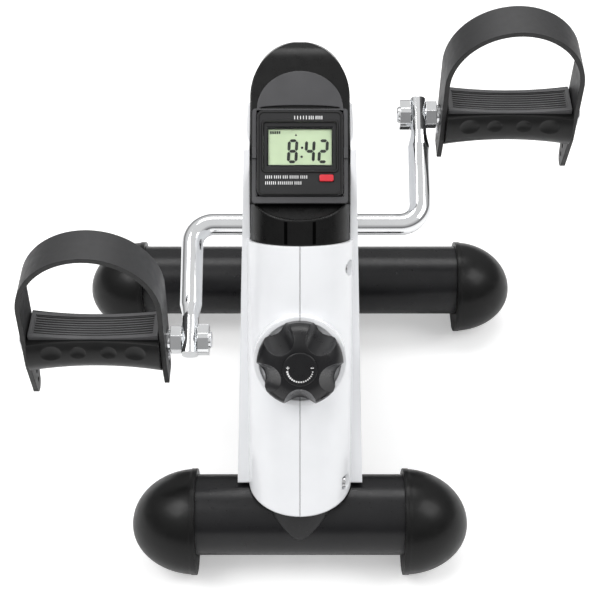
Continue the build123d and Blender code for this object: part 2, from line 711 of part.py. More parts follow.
with BuildPart() as band_anchor_pin:
    with BuildSketch(Plane.YZ):
        with Locations(ANCHOR):
            Circle(ANCHOR_RADIUS)
    extrude(amount=PLATE_OUTER + 1.5, both=True)
save(band_anchor_pin, "band_anchor_pin")

# The friction band runs from its anchor over the drum and back under it to the nut.
BAND_GAP = 0.1
BAND_HALF = 10.0
BAND_RADIUS = DRUM_RADIUS + BAND_GAP + BAND_THICK / 2
NUT_REST = 46.0              # inner face of the nut, behind the shell's front line
HOOK_DEPTH = NUT_REST + 4.5
hook = (KNOB_Y - HOOK_DEPTH * OUTWARD.Y, KNOB_HEIGHT - HOOK_DEPTH * OUTWARD.Z)


def tangent_point(point, turn):
    """Where a line from a point touches the band's circle; turn is -1 or +1."""
    dy = point[0] - CRANK_Y
    dz = point[1] - CRANK_Z
    angle = atan2(dz, dy) + turn * acos(BAND_RADIUS / hypot(dy, dz))
    return (CRANK_Y + BAND_RADIUS * cos(angle), CRANK_Z + BAND_RADIUS * sin(angle))


band_top = tangent_point(ANCHOR, -1)
band_bottom = tangent_point(hook, 1)
with BuildPart() as brake_band:
    with BuildSketch(Plane.YZ):
        with BuildLine():
            Line(ANCHOR, band_top)
            ThreePointArc(band_top, (CRANK_Y + BAND_RADIUS, CRANK_Z), band_bottom)
            Line(band_bottom, hook)
        trace(line_width=BAND_THICK)
        with Locations(ANCHOR):
            Circle(ANCHOR_RADIUS + 2.5)
            Circle(ANCHOR_RADIUS + RUN, mode=Mode.SUBTRACT)
    extrude(amount=BAND_HALF, both=True)
save(brake_band, "brake_band")

# Bracket behind the knob: a cross plate, two ears on the bearing plates and a nut guide.
BRACKET_DEPTH = 15.0
BRACKET_THICK = 3.0
BRACKET_HALF = 9.0
GUIDE_HALF = 7.0
GUIDE_LENGTH = 32.0
bracket_plane = knob_plane.offset(-BRACKET_DEPTH)
with BuildPart() as tension_bracket:
    with BuildSketch(bracket_plane):
        Rectangle(2 * PLATE_INNER - 0.1, 2 * BRACKET_HALF)
        Circle(SCREW_RADIUS + 0.4, mode=Mode.SUBTRACT)
    extrude(amount=-BRACKET_THICK)
    with BuildSketch(bracket_plane):
        with Locations((GUIDE_HALF + 1.25, 0), (-GUIDE_HALF - 1.25, 0)):
            Rectangle(2.5, 2 * BRACKET_HALF)
    extrude(amount=-GUIDE_LENGTH)
    with BuildSketch(bracket_plane):
        with Locations((PLATE_INNER - 1.3, 0), (1.3 - PLATE_INNER, 0)):
            Rectangle(2.5, 2 * BRACKET_HALF)
    extrude(amount=-GUIDE_LENGTH / 2)
save(tension_bracket, "tension_bracket")

NUT_LENGTH = 8.0
with BuildPart() as tension_nut:
    with BuildSketch(knob_plane.offset(-NUT_REST)):
        RectangleRounded(2 * GUIDE_HALF - 2 * RUN, 13, 1)
        Circle(SCREW_RADIUS + RUN, mode=Mode.SUBTRACT)
    extrude(amount=NUT_LENGTH)
save(tension_nut, "tension_nut")

SPRING_RADIUS = 4.7
SPRING_WIRE = 0.7
SPRING_TURNS = 6
spring_start = NUT_REST - NUT_LENGTH - SPRING_WIRE - 0.1
spring_length = spring_start - BRACKET_DEPTH - BRACKET_THICK - SPRING_WIRE - 0.1
with BuildPart() as upright_spring:
    with BuildLine() as coil:
        Helix(pitch=spring_length / SPRING_TURNS, height=spring_length, radius=SPRING_RADIUS)
    with BuildSketch(Plane(origin=coil.line @ 0, z_dir=coil.line % 0)):
        Circle(SPRING_WIRE)
    sweep(path=coil.line)
with BuildPart() as tension_spring:
    with Locations(knob_plane.offset(-spring_start).location):
        add(upright_spring.part)
save(tension_spring, "tension_spring")

# ---------------------------------------------------------------- tension knob
KNOB_BASE = 5.5
KNOB_RIM_TOP = 13.0
KNOB_TOP = 24.0
KNOB_FACE = 13.2
KNOB_GRIPS = 5
FIRST_GRIP = 54.0
KNOB_SCOOP_RADIUS = 13.0
KNOB_SCOOP_TILT = 32.0
KNOB_SCOOP_OUT = 37.6
KNOB_SCOOP_HEIGHT = 11.0
BOSS_RADIUS = 32.0
BOSS_PROUD = 4.8
BOSS_RECESS = 28.5           # radius of the sunken disc inside the ring
with BuildPart() as tension_knob:
    with BuildSketch(Plane(origin=knob_plane.origin, x_dir=(1, 0, 0), z_dir=-knob_plane.y_dir)):
        with BuildLine():
            Polyline((0, KNOB_TOP), (0, KNOB_BASE), (KNOB_RADIUS - 1.5, KNOB_BASE))
            Polyline(
                (KNOB_RADIUS - 1.5, KNOB_BASE),
                (KNOB_RADIUS, KNOB_BASE + 2),
                (KNOB_RADIUS, KNOB_RIM_TOP),
            )
            ThreePointArc(
                (KNOB_RADIUS, KNOB_RIM_TOP),
                (KNOB_RADIUS - 5.5, KNOB_TOP - 3.6),
                (KNOB_FACE, KNOB_TOP),
            )
            Line((KNOB_FACE, KNOB_TOP), (0, KNOB_TOP))
        make_face()
    revolve(axis=Axis(knob_plane.origin, OUTWARD))
    with BuildSketch(knob_plane.offset(KNOB_TOP - 2)):
        Circle(KNOB_FACE - 1.2)
    extrude(amount=2, mode=Mode.SUBTRACT)
    for grip in range(KNOB_GRIPS):
        angle = FIRST_GRIP + 360 / KNOB_GRIPS * grip
        spoke = knob_plane.location * Location((0, 0, KNOB_SCOOP_HEIGHT), (0, 0, angle))
        with Locations(spoke * Location((KNOB_SCOOP_OUT, 0, 0), (0, -KNOB_SCOOP_TILT, 0))):
            Cylinder(KNOB_SCOOP_RADIUS, 70, mode=Mode.SUBTRACT)
    with BuildSketch(knob_plane):
        Circle(SCREW_RADIUS)
    extrude(amount=KNOB_TOP - 6, mode=Mode.SUBTRACT)
save(tension_knob, "tension_knob")

with BuildPart() as knob_cap:
    with BuildSketch(knob_plane.offset(KNOB_TOP - 2)):
        Circle(KNOB_FACE - 1.2)
    extrude(amount=2.8)
    fillet(knob_cap.edges().sort_by(Axis(knob_plane.origin, OUTWARD))[-1], 0.8)
save(knob_cap, "knob_cap")

with BuildPart() as tension_screw:
    with BuildSketch(knob_plane.offset(KNOB_TOP - 6)):
        Circle(SCREW_RADIUS)
    extrude(amount=-(KNOB_TOP - 6 + NUT_REST + 1))
save(tension_screw, "tension_screw")

# ---------------------------------------------------------------- shell
UP_SLOPE = Vector(0, sin(radians(LEAN)), cos(radians(LEAN)))
front_plane = Plane(origin=(0, SHELL_FRONT_Y, SHELL_BOTTOM), x_dir=(1, 0, 0), z_dir=UP_SLOPE)
SEAM_CORNER_Z = 237.7        # height at which the shell's front top edge meets the flange
FLANGE_TOP = 293.0
CREST = (40.0, 297.0)        # top of the core's side walls
HOOD_SEAM_REAR = (100.0, 258.0)
REAR_SHOULDER = (150.0, 170.0)
REAR_FOOT = (158.0, SHELL_BOTTOM)
SEAM_GAP = 0.3
CRANK_HOLE = 11.0
FLANGE_STEP = 14.0
ARCH_HALF = 80.0
ARCH_RISE = 12.0
POST_START = 28.0
POCKET_FLOOR = 30.5
POCKET_RADIUS = 5.5


def flange_y(height, inset=0.0):
    """Y of the flange's front edge at a given height."""
    return SHELL_FRONT_Y + (FLANGE_SETBACK + inset) / cos(radians(LEAN)) + (height - SHELL_BOTTOM) * SLOPE


SEAM_CORNER = (flange_y(SEAM_CORNER_Z), SEAM_CORNER_Z)


def square_cut(y, drop=0.0):
    """Height at Y of the cut square to the front line through the seam's corner, less a drop."""
    return SEAM_CORNER[1] - drop - (y - SEAM_CORNER[0]) * SLOPE


def nose_section(inset, start, length):
    """A length of the round-nosed section along the front line, all faces moved in by inset."""
    with BuildPart() as section:
        with BuildSketch(front_plane.offset(start)):
            with Locations((0, SHELL_NOSE)):
                Ellipse(SHELL_HALF - inset, SHELL_NOSE - inset)
            with Locations((0, SHELL_NOSE + 170)):
                Rectangle(2 * (SHELL_HALF - inset), 340)
        extrude(amount=length)
    return section.part


def core_solid(inset, bottom):
    """Narrow round-nosed core of the shell, all faces but its top moved in by inset."""
    with BuildPart() as core:
        add(nose_section(inset, -80, 420))
        with BuildSketch(Plane.YZ):
            with BuildLine():
                Polyline(
                    (REAR_FOOT[0] - inset, bottom),
                    (-215, bottom),
                    (-215, square_cut(-215)),
                    SEAM_CORNER,
                    (flange_y(FLANGE_TOP), FLANGE_TOP),
                    CREST,
                    (HOOD_SEAM_REAR[0] - inset, HOOD_SEAM_REAR[1] - inset),
                )
                add_rear_curve(inset, bottom)
            make_face()
        extrude(amount=SHELL_HALF + 10, both=True, mode=Mode.INTERSECT)
    return core


def add_rear_curve(inset, bottom):
    """The rounded back of the shell, from the hood seam down to the foot."""
    Spline(
        (HOOD_SEAM_REAR[0] - inset, HOOD_SEAM_REAR[1] - inset),
        (REAR_SHOULDER[0] - inset, REAR_SHOULDER[1] - inset),
        (REAR_FOOT[0] - inset, bottom),
        tangents=((1, -0.72), (0, -1)),
    )


def flange_solid(inset, bottom):
    """Wider rear part of the shell; its front edge runs parallel to the front line."""
    top = (flange_y(FLANGE_TOP - inset, inset), FLANGE_TOP - inset)
    with BuildPart() as flange:
        with BuildSketch(Plane.YZ):
            with BuildLine():
                Polyline((REAR_FOOT[0] - inset, bottom), (flange_y(bottom, inset), bottom), top)
                Spline(
                    top,
                    (REAR_SHOULDER[0] - FLANGE_STEP - inset, REAR_SHOULDER[1] - inset),
                    (REAR_FOOT[0] - FLANGE_STEP - inset, bottom + 20),
                    tangents=((1, -1.1), (0, -1)),
                )
                Polyline(
                    (REAR_FOOT[0] - FLANGE_STEP - inset, bottom + 20),
                    (REAR_FOOT[0] - inset, bottom + 10),
                    (REAR_FOOT[0] - inset, bottom),
                )
            make_face()
        extrude(amount=FLANGE_FOOT_HALF, both=True)
        with BuildSketch(Plane.XZ):
            Polygon(
                (inset - FLANGE_FOOT_HALF, bottom),
                (FLANGE_FOOT_HALF - inset, bottom),
                (FLANGE_TOP_HALF - inset, FLANGE_TOP),
                (inset - FLANGE_TOP_HALF, FLANGE_TOP),
                align=None,
            )
        extrude(amount=2 * REAR_FOOT[0], both=True, mode=Mode.INTERSECT)
    return flange


with BuildPart() as shell_outer:
    add(core_solid(0, SHELL_BOTTOM).part)
    add(flange_solid(0, SHELL_BOTTOM).part)

with BuildPart() as shell_cavity:
    add(core_solid(SHELL_WALL, SHELL_BOTTOM - 1).part)
    add(flange_solid(SHELL_WALL, SHELL_BOTTOM - 1).part)

# Solid posts inside the shell that the pocketed screws pass through.
with BuildPart() as screw_posts:
    for side in (-1, 1):
        with BuildSketch(Plane.YZ.offset(side * POST_START)):
            with Locations(*PLATE_SCREWS[side], *BEAM_SCREWS[side]):
                Circle(POCKET_RADIUS + 2)
        extrude(amount=side * 20)
    add(shell_outer.part, mode=Mode.INTERSECT)

with BuildPart() as shell_block:
    add(shell_outer.part)
    # Round boss behind the knob.
    with BuildSketch(knob_plane.offset(BOSS_PROUD)):
        Circle(BOSS_RADIUS)
    extrude(amount=-SHELL_NOSE)
    add(shell_cavity.part, mode=Mode.SUBTRACT)
    # Opening for the hood, up to the rear wall.
    with BuildSketch(Plane.YZ):
        Polygon(
            (SEAM_CORNER[0] - 1, SEAM_CORNER_Z),
            (HOOD_SEAM_REAR[0] - SHELL_WALL, SEAM_CORNER_Z),
            (HOOD_SEAM_REAR[0] - SHELL_WALL, HOOD_CREST[1]),
            (flange_y(HOOD_CREST[1]) - 1, HOOD_CREST[1]),
            align=None,
        )
    extrude(amount=SHELL_HALF - SHELL_WALL, both=True, mode=Mode.SUBTRACT)
    # Shallow arch along the bottom edge.
    with BuildSketch(Plane.YZ):
        with Locations((0, SHELL_BOTTOM)):
            Ellipse(ARCH_HALF, ARCH_RISE)
    extrude(amount=FLANGE_FOOT_HALF + 10, both=True, mode=Mode.SUBTRACT)
    add(screw_posts.part)
    with BuildSketch(Plane.YZ.offset(-60)):
        with Locations((CRANK_Y, CRANK_Z)):
            Circle(CRANK_HOLE)
    extrude(amount=120, mode=Mode.SUBTRACT)
    for side in (-1, 1):
        with BuildSketch(Plane.YZ.offset(side * POCKET_FLOOR)):
            with Locations(*PLATE_SCREWS[side], *BEAM_SCREWS[side]):
                Circle(POCKET_RADIUS)
        extrude(amount=side * 40, mode=Mode.SUBTRACT)
        with BuildSketch(Plane.YZ):
            with Locations(*PLATE_SCREWS[side], *BEAM_SCREWS[side]):
                Circle(SCREW_SIZE + 0.3)
        extrude(amount=side * 60, mode=Mode.SUBTRACT)
    with BuildSketch(knob_plane.offset(BOSS_PROUD)):
        Circle(BOSS_RECESS)
    extrude(amount=-3, mode=Mode.SUBTRACT)
    with BuildSketch(knob_plane.offset(BOSS_PROUD + 1)):
        Circle(SCREW_RADIUS + 2)
    extrude(amount=-12, mode=Mode.SUBTRACT)


def shell_half(side):
    """One moulded half of the shell, cut back from the seam by half its gap."""
    with BuildPart() as half:
        add(shell_block.part)
        split(bisect_by=Plane.YZ.offset(side * SEAM_GAP / 2), keep=Keep.TOP if side > 0 else Keep.BOTTOM)
    return half


save(shell_half(-1), "left_shell")
save(shell_half(1), "right_shell")

with BuildPart() as shell_screws:
    for side in (-1, 1):
        with BuildSketch(Plane.YZ.offset(side * POCKET_FLOOR)):
            with Locations(*PLATE_SCREWS[side], *BEAM_SCREWS[side]):
                Circle(4)
        extrude(amount=side * 2.4)
        with BuildSketch(Plane.YZ.offset(side * POCKET_FLOOR)):
            with Locations(*PLATE_SCREWS[side], *BEAM_SCREWS[side]):
                Circle(SCREW_SIZE - 0.05)
        extrude(amount=side * -10)
save(shell_screws, "shell_screws")

# ---------------------------------------------------------------- hood and console
console_plane = Plane(
    origin=(0, CONSOLE_Y, CONSOLE_Z),
    x_dir=(1, 0, 0),
    z_dir=(0, -sin(radians(CONSOLE_TILT)), cos(radians(CONSOLE_TILT))),
)

def hood_body(inset):
    """Arched body of the hood above the ledge, all faces moved in by inset."""
    with BuildPart() as hood:
        with BuildSketch(console_plane.offset(-inset)):
            with Locations((0, HOOD_ARCH_START / 2 - 15)):
                Rectangle(2 * (HOOD_HALF - inset), HOOD_ARCH_START + 30)
            with Locations((0, HOOD_ARCH_START)):
                Ellipse(HOOD_HALF - inset, HOOD_ARCH_RISE - inset)
        extrude(amount=160, dir=(0, cos(radians(HOOD_FALL)), -sin(radians(HOOD_FALL))))
        with BuildSketch(Plane.YZ):
            with BuildLine():
                Polyline(
                    (HOOD_REAR[0] - inset, HOOD_REAR[1]),
                    (60, HOOD_BOTTOM),
                    (-90, HOOD_BOTTOM),
                    (-90, HOOD_BROW[1]),
                    (HOOD_BROW[0], HOOD_BROW[1]),
                )
                Spline(
                    HOOD_BROW,
                    (HOOD_CREST[0], HOOD_CREST[1] - inset),
                    (88 - inset, 306 - inset),
                    (HOOD_REAR[0] - inset, HOOD_REAR[1]),
                    tangents=((cos(radians(CONSOLE_TILT)), sin(radians(CONSOLE_TILT))), (0.1, -1)),
                )
            make_face()
        extrude(amount=HOOD_HALF + 10, both=True, mode=Mode.INTERSECT)
    return hood.part


MODULE_MIDDLE = (MODULE_START + MODULE_END) / 2
MODULE_HEIGHT = MODULE_END - MODULE_START
MODULE_BACK = -9.0
MODULE_GAP = 0.3
with BuildPart() as top_hood:
    add(hood_body(0))
    add(hood_body(HOOD_WALL), mode=Mode.SUBTRACT)
    with BuildSketch(console_plane.offset(-2 * HOOD_WALL)):
        with Locations((0, MODULE_MIDDLE)):
            Rectangle(2 * (MODULE_HALF + MODULE_GAP), MODULE_HEIGHT + 2 * MODULE_GAP)
    extrude(amount=3 * HOOD_WALL, mode=Mode.SUBTRACT)
save(top_hood, "top_hood")

# Collar: carries the hood, plugs into the shell's top edge and has a rimmed ledge in front.
with BuildPart() as hood_collar:
    add(nose_section(COLLAR_INSET, 120, 140))
    with BuildSketch(Plane.YZ):
        Polygon(
            (-90, square_cut(-90, COLLAR_TUCK)),
            (SEAM_CORNER[0], SEAM_CORNER[1] - COLLAR_TUCK),
            (flange_y(CONSOLE_Z), CONSOLE_Z),
            (-90, CONSOLE_Z),
            align=None,
        )
    extrude(amount=SHELL_HALF, both=True, mode=Mode.INTERSECT)
    with BuildPart(mode=Mode.PRIVATE) as collar_cavity:
        add(nose_section(COLLAR_INSET + COLLAR_WALL, 100, 180))
        with BuildSketch(Plane.YZ):
            Polygon(
                (-90, 180),
                (0, 180),
                (0, CONSOLE_Z + 10),
                (LEDGE_BACK, CONSOLE_Z + 10),
                (LEDGE_BACK, CONSOLE_Z - LEDGE_DEEP - COLLAR_WALL),
                (-90, CONSOLE_Z - LEDGE_DEEP - COLLAR_WALL),
                align=None,
            )
        extrude(amount=SHELL_HALF, both=True, mode=Mode.INTERSECT)
    add(collar_cavity.part, mode=Mode.SUBTRACT)
    with BuildPart(mode=Mode.PRIVATE) as ledge_recess:
        add(nose_section(COLLAR_INSET + LEDGE_RIM, 100, 180))
        with BuildSketch(Plane.YZ):
            Polygon(
                (-90, CONSOLE_Z - LEDGE_DEEP),
                (LEDGE_BACK, CONSOLE_Z - LEDGE_DEEP),
                (LEDGE_BACK, CONSOLE_Z + 10),
                (-90, CONSOLE_Z + 10),
                align=None,
            )
        extrude(amount=SHELL_HALF, both=True, mode=Mode.INTERSECT)
    add(ledge_recess.part, mode=Mode.SUBTRACT)
save(hood_collar, "hood_collar")

# Console frame: a flat surround for the module with a half-round visor and two clip tabs.
FRAME_HALF = 33.2
FRAME_TOP = 68.0
FRAME_THICK = 1.4
VISOR_RISE = 27.0
VISOR_GAP = 2.0               # dark crescent between the visor and the frame's top bar
TAB_HALF = 3.8
with BuildPart() as console_visor:
    with BuildSketch(console_plane.offset(0.05)):
        with Locations((0, FRAME_TOP)):
            Ellipse(MODULE_HALF, VISOR_RISE)
        with Locations((0, FRAME_TOP - VISOR_RISE / 2 - 1)):
            Rectangle(2 * MODULE_HALF, VISOR_RISE, mode=Mode.SUBTRACT)
        with Locations((0, FRAME_TOP + 0.5)):
            Ellipse(MODULE_HALF - 2, VISOR_GAP, mode=Mode.SUBTRACT)
        with Locations((0, FRAME_TOP / 2 + 0.5)):
            RectangleRounded(2 * FRAME_HALF, FRAME_TOP - 1, 2)
        with Locations((0, MODULE_MIDDLE)):
            Rectangle(2 * (MODULE_HALF + MODULE_GAP), MODULE_HEIGHT + 2 * MODULE_GAP, mode=Mode.SUBTRACT)
    extrude(amount=FRAME_THICK)
    tab = FRAME_HALF - MODULE_HALF - MODULE_GAP
    with BuildSketch(console_plane.offset(0.05)):
        with Locations((FRAME_HALF - tab / 2, MODULE_MIDDLE), (tab / 2 - FRAME_HALF, MODULE_MIDDLE)):
            Rectangle(tab, 2 * TAB_HALF)
    extrude(amount=2 * FRAME_THICK)
save(console_visor, "console_visor")

# Display module: a shallow case with a stepped window, a lens, the works and a back cover.
WINDOW = (44.0, 25.5)
WINDOW_UP = 40.8
LENS = (46.0, 28.5)
BEZEL = (50.5, 34.4)
LENS_SEAT = 1.4
LENS_THICK = 0.8
BUTTON_SPOT = (18.3, 18.3)
BUTTON = (9.8, 4.8)
CABLE_SPOT = (18.0, 52.0)
CABLE_RADIUS = 1.3
with BuildPart() as module_case:
    with BuildSketch(console_plane.offset(MODULE_BACK)):
        with Locations((0, MODULE_MIDDLE)):
            RectangleRounded(2 * MODULE_HALF, MODULE_HEIGHT, 4)
    extrude(amount=MODULE_PROUD - MODULE_BACK)
    fillet(module_case.faces().sort_by(Axis(console_plane.origin, console_plane.z_dir))[-1].edges(), 0.8)
    with BuildSketch(console_plane.offset(MODULE_BACK)):
        with Locations((0, MODULE_MIDDLE)):
            RectangleRounded(2 * MODULE_HALF - 4, MODULE_HEIGHT - 4, 2)
    extrude(amount=-MODULE_BACK, mode=Mode.SUBTRACT)
    with BuildSketch(console_plane):
        with Locations((0, WINDOW_UP)):
            Rectangle(*WINDOW)
        with Locations(BUTTON_SPOT):
            Rectangle(BUTTON[0] + 4 * RUN, BUTTON[1] + 4 * RUN)
    extrude(amount=MODULE_PROUD, mode=Mode.SUBTRACT)
    with BuildSketch(console_plane.offset(LENS_SEAT)):
        with Locations((0, WINDOW_UP)):
            Rectangle(*LENS)
    extrude(amount=MODULE_PROUD, mode=Mode.SUBTRACT)
    with BuildSketch(console_plane.offset(LENS_SEAT + LENS_THICK)):
        with Locations((0, WINDOW_UP)):
            RectangleRounded(*BEZEL, 2)
    extrude(amount=MODULE_PROUD, mode=Mode.SUBTRACT)
save(module_case, "module_case")


def console_plate(name, size, up, start, thickness, corner=0.5):
    """A flat rectangular piece of the module, parallel to the console's face."""
    with BuildPart() as plate:
        with BuildSketch(console_plane.offset(start)):
            with Locations((0, up)):
                RectangleRounded(*size, corner)
        extrude(amount=thickness)
    save(plate, name)


console_plate("lcd_lens", (LENS[0] - 0.1, LENS[1] - 0.1), WINDOW_UP, LENS_SEAT, LENS_THICK)
console_plate("lcd_panel", (WINDOW[0] + 4, WINDOW[1] + 4), WINDOW_UP, -2.1, 2.0)
console_plate("circuit_board", (52, 52), MODULE_MIDDLE, -5.0, 1.6, 1.0)

with BuildPart() as battery:
    with BuildSketch(console_plane.offset(-8.6)):
        with Locations((-8, MODULE_MIDDLE)):
            Circle(10)
    extrude(amount=3.2)
    chamfer(battery.edges().filter_by(GeomType.CIRCLE), 0.4)
save(battery, "battery")

with BuildPart() as battery_door:
    with BuildSketch(console_plane.offset(MODULE_BACK - 1.5)):
        with Locations((0, MODULE_MIDDLE)):
            RectangleRounded(2 * MODULE_HALF - 2, MODULE_HEIGHT - 2, 3)
        with Locations(CABLE_SPOT):
            Circle(CABLE_RADIUS + 1, mode=Mode.SUBTRACT)
    extrude(amount=1.5)
save(battery_door, "battery_door")

with BuildPart() as mode_button:
    with BuildSketch(console_plane.offset(-1.6)):
        with Locations(BUTTON_SPOT):
            RectangleRounded(BUTTON[0] + 3, BUTTON[1] + 3, 1)
    extrude(amount=1.2)
    with BuildSketch(console_plane.offset(-1.6)):
        with Locations(BUTTON_SPOT):
            RectangleRounded(*BUTTON, 1.2)
    extrude(amount=MODULE_PROUD + 1.6 + 1.4)
    fillet(mode_button.faces().sort_by(Axis(console_plane.origin, console_plane.z_dir))[-1].edges(), 0.5)
save(mode_button, "mode_button")

# Rotation sensor on the right bearing plate, and its cable up to the circuit board.
sensor_spot = (CRANK_Y + magnet_spot[0], CRANK_Z + magnet_spot[1])
SENSOR_INNER = 8.0
with BuildPart() as reed_sensor:
    with BuildSketch(Plane.YZ.offset(SENSOR_INNER)):
        with Locations(sensor_spot):
            RectangleRounded(10, 12, 1.5)
    extrude(amount=PLATE_INNER - SENSOR_INNER)
save(reed_sensor, "reed_sensor")

board_entry = (
    console_plane.origin
    + console_plane.x_dir * CABLE_SPOT[0]
    + console_plane.y_dir * CABLE_SPOT[1]
    + console_plane.z_dir * -5.1
)
with BuildPart() as sensor_cable:
    with BuildLine() as cable_path:
        Spline(
            (CABLE_SPOT[0], sensor_spot[0], sensor_spot[1] + 6.1),
            (CABLE_SPOT[0], sensor_spot[0] + 2, sensor_spot[1] + 35),
            board_entry - console_plane.z_dir * 12,
            board_entry,
            tangents=((0, 0, 1), tuple(console_plane.z_dir)),
        )
    with BuildSketch(Plane(origin=cable_path.line @ 0, z_dir=(0, 0, 1))):
        Circle(CABLE_RADIUS)
    sweep(path=cable_path.line)
save(sensor_cable, "sensor_cable")
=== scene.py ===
"""Looks of the pedal exerciser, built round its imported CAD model.

Everything is in metres in the CAD frame: +X is the sitter's right, +Y points away, +Z is up.
"""
import json
import math

import bmesh
import bpy
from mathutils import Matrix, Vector


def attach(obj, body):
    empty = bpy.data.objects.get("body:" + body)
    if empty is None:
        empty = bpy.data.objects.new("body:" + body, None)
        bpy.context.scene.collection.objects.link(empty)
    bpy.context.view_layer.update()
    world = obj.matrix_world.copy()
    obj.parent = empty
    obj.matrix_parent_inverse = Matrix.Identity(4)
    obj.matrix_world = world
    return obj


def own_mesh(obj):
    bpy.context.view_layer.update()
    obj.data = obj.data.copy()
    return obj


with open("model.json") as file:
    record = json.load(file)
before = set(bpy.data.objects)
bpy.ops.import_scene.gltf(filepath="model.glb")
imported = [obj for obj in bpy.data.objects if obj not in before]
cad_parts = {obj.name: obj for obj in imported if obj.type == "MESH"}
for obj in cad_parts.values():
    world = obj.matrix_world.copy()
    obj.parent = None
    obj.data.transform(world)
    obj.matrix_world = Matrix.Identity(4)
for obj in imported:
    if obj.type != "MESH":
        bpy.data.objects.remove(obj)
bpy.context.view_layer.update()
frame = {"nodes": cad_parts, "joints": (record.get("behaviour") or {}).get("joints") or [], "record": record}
NODES = frame["nodes"]
JOINTS = {joint["name"]: joint for joint in frame["joints"]}
X_AXIS = Vector((1, 0, 0))
MM = 0.001


# ---------------------------------------------------------------- places taken from the frame
def span(node, direction):
    """Lowest and highest distance of a CAD node's points along a direction."""
    reach = [vertex.co.dot(direction) for vertex in NODES[node].data.vertices]
    return min(reach), max(reach)


class Face:
    """A working plane on a node's outermost level: x along +X, up the slope, out off it, in mm."""

    def __init__(self, out, node):
        self.out = out.normalized()
        self.up = self.out.cross(X_AXIS).normalized()
        self.across = sum(span(node, X_AXIS)) / 2
        self.middle = sum(span(node, self.up)) / 2
        self.level = span(node, self.out)[1]

    def point(self, x, up, out=0.0):
        """World point from the node's middle and its outermost level."""
        flat = X_AXIS * (self.across + x * MM) + self.up * (self.middle + up * MM)
        return flat + self.out * (self.level + out * MM)


def flat_side(node):
    """Direction away from a node's largest flat facet."""
    largest = max(NODES[node].data.polygons, key=lambda facet: facet.area)
    return -largest.normal


console = Face(-Vector(JOINTS["button_press"]["axis"]), "module_case")
dial = Face(-Vector(JOINTS["knob_turn"]["axis"]), "knob_cap")
collar = Face(dial.out, "hood_collar")


# ---------------------------------------------------------------- materials
class Shader:
    """A node material with the usual fine grain, colour drift and roughness drift."""

    def __init__(self, name):
        self.material = bpy.data.materials.new(name)
        self.material.use_nodes = True
        self.nodes = self.material.node_tree.nodes
        self.links = self.material.node_tree.links
        self.surface = self.nodes["Principled BSDF"]
        self.place = self.nodes.new("ShaderNodeTexCoord").outputs["Object"]

    def put(self, socket, value):
        """Set a surface input to a plain value or wire it to another node's output."""
        target = self.surface.inputs[socket]
        if isinstance(value, bpy.types.NodeSocket):
            self.links.new(value, target)
        else:
            target.default_value = value

    def noise(self, scale, detail=3.0, stretch=None):
        """Noise over the part; stretch squeezes it along the axes."""
        texture = self.nodes.new("ShaderNodeTexNoise")
        texture.inputs["Scale"].default_value = scale
        texture.inputs["Detail"].default_value = detail
        source = self.place
        if stretch:
            mapping = self.nodes.new("ShaderNodeMapping")
            mapping.inputs["Scale"].default_value = stretch
            self.links.new(source, mapping.inputs["Vector"])
            source = mapping.outputs["Vector"]
        self.links.new(source, texture.inputs["Vector"])
        return texture.outputs["Fac"]

    def wave(self, scale, direction):
        """Straight bands across the part."""
        texture = self.nodes.new("ShaderNodeTexWave")
        texture.bands_direction = direction
        texture.inputs["Scale"].default_value = scale
        self.links.new(self.place, texture.inputs["Vector"])
        return texture.outputs["Fac"]

    def spread(self, source, low, high):
        """Map a 0..1 texture onto a range of values."""
        node = self.nodes.new("ShaderNodeMapRange")
        node.inputs["From Min"].default_value = 0.3
        node.inputs["From Max"].default_value = 0.7
        node.inputs["To Min"].default_value = low
        node.inputs["To Max"].default_value = high
        self.links.new(source, node.inputs["Value"])
        return node.outputs["Result"]

    def scaled(self, source, factor):
        """Multiply a value by a constant."""
        node = self.nodes.new("ShaderNodeMath")
        node.operation = "MULTIPLY"
        node.inputs[1].default_value = factor
        self.links.new(source, node.inputs[0])
        return node.outputs["Value"]

    def tint(self, source, dark, light):
        """Colour ramp between two colours, driven by a texture."""
        node = self.nodes.new("ShaderNodeValToRGB")
        node.color_ramp.elements[0].position = 0.3
        node.color_ramp.elements[1].position = 0.7
        node.color_ramp.elements[0].color = (*dark, 1)
        node.color_ramp.elements[1].color = (*light, 1)
        self.links.new(source, node.inputs["Fac"])
        return node.outputs["Color"]

    def bump(self, source, strength, depth, edge=0.0):
        """Surface relief from a texture; edge rounds sharp corners by that radius."""
        node = self.nodes.new("ShaderNodeBump")
        node.inputs["Strength"].default_value = strength
        node.inputs["Distance"].default_value = depth
        self.links.new(source, node.inputs["Height"])
        if edge:
            rounding = self.nodes.new("ShaderNodeBevel")
            rounding.samples = 6
            rounding.inputs["Radius"].default_value = edge
            self.links.new(rounding.outputs["Normal"], node.inputs["Normal"])
        self.links.new(node.outputs["Normal"], self.surface.inputs["Normal"])


def moulded(
    name, colour, rough, *, grain=2200, relief=0.12, edge=0.0006, coat=0.0, drift=0.16, specular=0.5
):
    """Moulded plastic or rubber: faint colour drift, mould grain and softened edges."""
    shader = Shader(name)
    shader.put("Specular IOR Level", specular)
    dark = [channel * (1 - drift) for channel in colour]
    light = [min(1, channel * (1 + drift)) for channel in colour]
    shader.put("Base Color", shader.tint(shader.noise(35), dark, light))
    shader.put("Roughness", shader.spread(shader.noise(160, 4), rough - 0.05, rough + 0.05))
    shader.put("Coat Weight", coat)
    shader.put("Coat Roughness", 0.08)
    shader.bump(shader.noise(grain, 2), relief, 0.0001, edge)
    return shader.material


